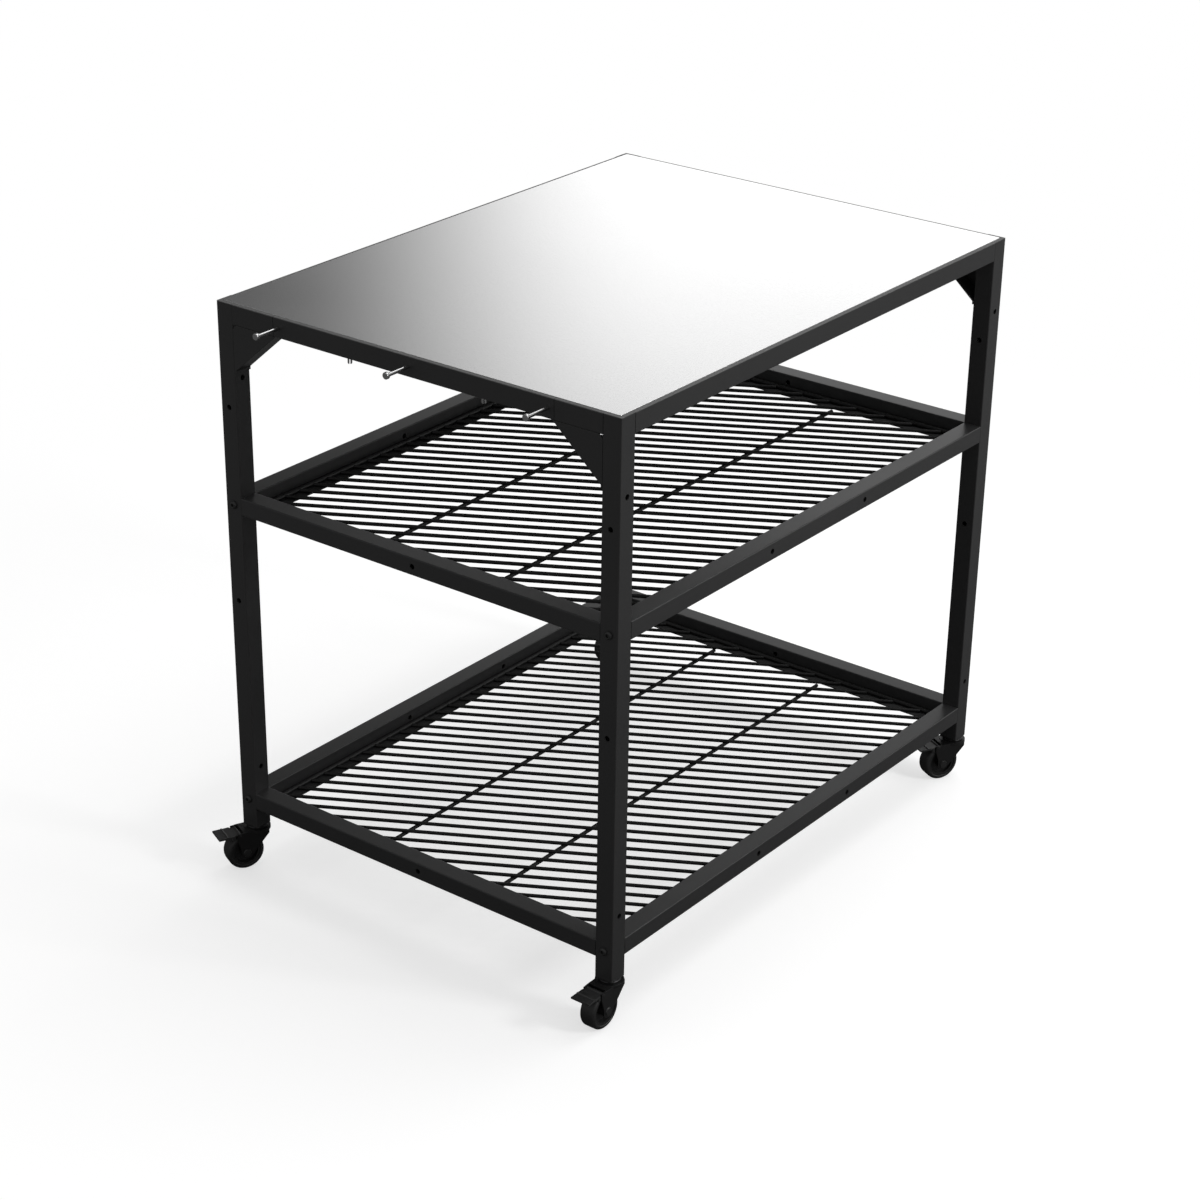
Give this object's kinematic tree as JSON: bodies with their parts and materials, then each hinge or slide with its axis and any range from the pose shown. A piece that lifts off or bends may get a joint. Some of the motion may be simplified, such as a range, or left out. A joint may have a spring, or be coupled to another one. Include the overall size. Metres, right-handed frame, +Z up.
{
  "type": "outdoor pizza oven table",
  "caption": "Square-tube table on braked swivel casters with a flat stainless worktop, hanging pegs on the front rail and open wire shelves below.",
  "frame": {"origin": "on the floor, under the middle of the outline that the frame and the turned casters make; the middle of the frame itself lies at X 9.3 mm, Y 19.9 mm", "axes": "+Z up, +X along the front to the right as seen from the front, +Y from the front with the pegs to the back"},
  "size_m": [0.629, 0.8499, 0.77],
  "materials": {
    "frame": "satin black powder coat",
    "grille": "satin black coated wire",
    "worktop": "fine brushed stainless sheet",
    "bright_metal": "bright plated steel",
    "bolts": "black oxide",
    "plugs": "moulded black",
    "zinc": "zinc plated",
    "caster_frame": "satin black",
    "pedal": "satin dark grey",
    "wheel_centre": "moulded black",
    "tyre": "dark grey rubber"
  },
  "bodies": {
    "table": {"leg_front_left": "frame", "rail_stub_front_left": "frame", "gusset_front_left": "frame", "leg_front_right": "frame", "rail_stub_front_right": "frame", "gusset_front_right": "frame", "leg_back_left": "frame", "rail_stub_back_left": "frame", "gusset_back_left": "frame", "leg_back_right": "frame", "rail_stub_back_right": "frame", "gusset_back_right": "frame", "rail_top_left": "frame", "rail_top_right": "frame", "rail_top_front": "frame", "rail_top_back": "frame", "shelf_mid_rail_left": "frame", "shelf_mid_rail_right": "frame", "shelf_mid_rail_front": "frame", "shelf_mid_rail_back": "frame", "shelf_mid_ledge": "frame", "shelf_mid_grille": "grille", "shelf_low_rail_left": "frame", "shelf_low_rail_right": "frame", "shelf_low_rail_front": "frame", "shelf_low_rail_back": "frame", "shelf_low_ledge": "frame", "shelf_low_grille": "grille", "worktop_sheet": "worktop", "worktop_stiffeners": "worktop", "worktop_clips": "bright_metal", "rail_sleeves": "frame", "shelf_bolts": "bolts", "leg_plugs": "plugs", "peg_left": "bright_metal", "peg_middle": "bright_metal", "peg_right": "bright_metal", "caster_stems": "zinc"},
    "front_left_fork": {"caster_front_left_fork": "caster_frame", "caster_front_left_axle": "bolts"},
    "front_left_wheel": {"caster_front_left_wheel": "wheel_centre", "caster_front_left_tyre": "tyre"},
    "front_left_pedal": {"caster_front_left_pedal": "pedal"},
    "front_right_fork": {"caster_front_right_fork": "caster_frame", "caster_front_right_axle": "bolts"},
    "front_right_wheel": {"caster_front_right_wheel": "wheel_centre", "caster_front_right_tyre": "tyre"},
    "front_right_pedal": {"caster_front_right_pedal": "pedal"},
    "back_left_fork": {"caster_back_left_fork": "caster_frame", "caster_back_left_axle": "bolts"},
    "back_left_wheel": {"caster_back_left_wheel": "wheel_centre", "caster_back_left_tyre": "tyre"},
    "back_left_pedal": {"caster_back_left_pedal": "pedal"},
    "back_right_fork": {"caster_back_right_fork": "caster_frame", "caster_back_right_axle": "bolts"},
    "back_right_wheel": {"caster_back_right_wheel": "wheel_centre", "caster_back_right_tyre": "tyre"},
    "back_right_pedal": {"caster_back_right_pedal": "pedal"}
  },
  "joints": [
    {"name": "front_left_swivel", "type": "hinge", "parent": "table", "child": "front_left_fork", "pos_m": [-0.2782, -0.3676, 0.055], "axis": [0, 0, 1], "continuous": true},
    {"name": "front_left_roll", "type": "hinge", "parent": "front_left_fork", "child": "front_left_wheel", "pos_m": [-0.28665, -0.38573, 0.025], "axis": [0.9063, -0.4226, 0], "continuous": true},
    {"name": "front_left_brake", "type": "hinge", "parent": "front_left_fork", "child": "front_left_pedal", "pos_m": [-0.29003, -0.39298, 0.0518], "axis": [0.9063, -0.4226, 0], "range_deg": [0, 8]},
    {"name": "front_right_swivel", "type": "hinge", "parent": "table", "child": "front_right_fork", "pos_m": [0.2968, -0.3676, 0.055], "axis": [0, 0, 1], "continuous": true},
    {"name": "front_right_roll", "type": "hinge", "parent": "front_right_fork", "child": "front_right_wheel", "pos_m": [0.2968, -0.3876, 0.025], "axis": [1, 0, 0], "continuous": true},
    {"name": "front_right_brake", "type": "hinge", "parent": "front_right_fork", "child": "front_right_pedal", "pos_m": [0.2968, -0.3956, 0.0518], "axis": [1, 0, 0], "range_deg": [0, 8]},
    {"name": "back_left_swivel", "type": "hinge", "parent": "table", "child": "back_left_fork", "pos_m": [-0.2782, 0.4074, 0.055], "axis": [0, 0, 1], "continuous": true},
    {"name": "back_left_roll", "type": "hinge", "parent": "back_left_fork", "child": "back_left_wheel", "pos_m": [-0.28029, 0.38751, 0.025], "axis": [0.9945, -0.1045, 0], "continuous": true},
    {"name": "back_left_brake", "type": "hinge", "parent": "back_left_fork", "child": "back_left_pedal", "pos_m": [-0.28113, 0.37955, 0.0518], "axis": [0.9945, -0.1045, 0], "range_deg": [0, 8]},
    {"name": "back_right_swivel", "type": "hinge", "parent": "table", "child": "back_right_fork", "pos_m": [0.2968, 0.4074, 0.055], "axis": [0, 0, 1], "continuous": true},
    {"name": "back_right_roll", "type": "hinge", "parent": "back_right_fork", "child": "back_right_wheel", "pos_m": [0.28741, 0.38974, 0.025], "axis": [0.8829, -0.4695, 0], "continuous": true},
    {"name": "back_right_brake", "type": "hinge", "parent": "back_right_fork", "child": "back_right_pedal", "pos_m": [0.28365, 0.38268, 0.0518], "axis": [0.8829, -0.4695, 0], "range_deg": [0, 8]}
  ]
}
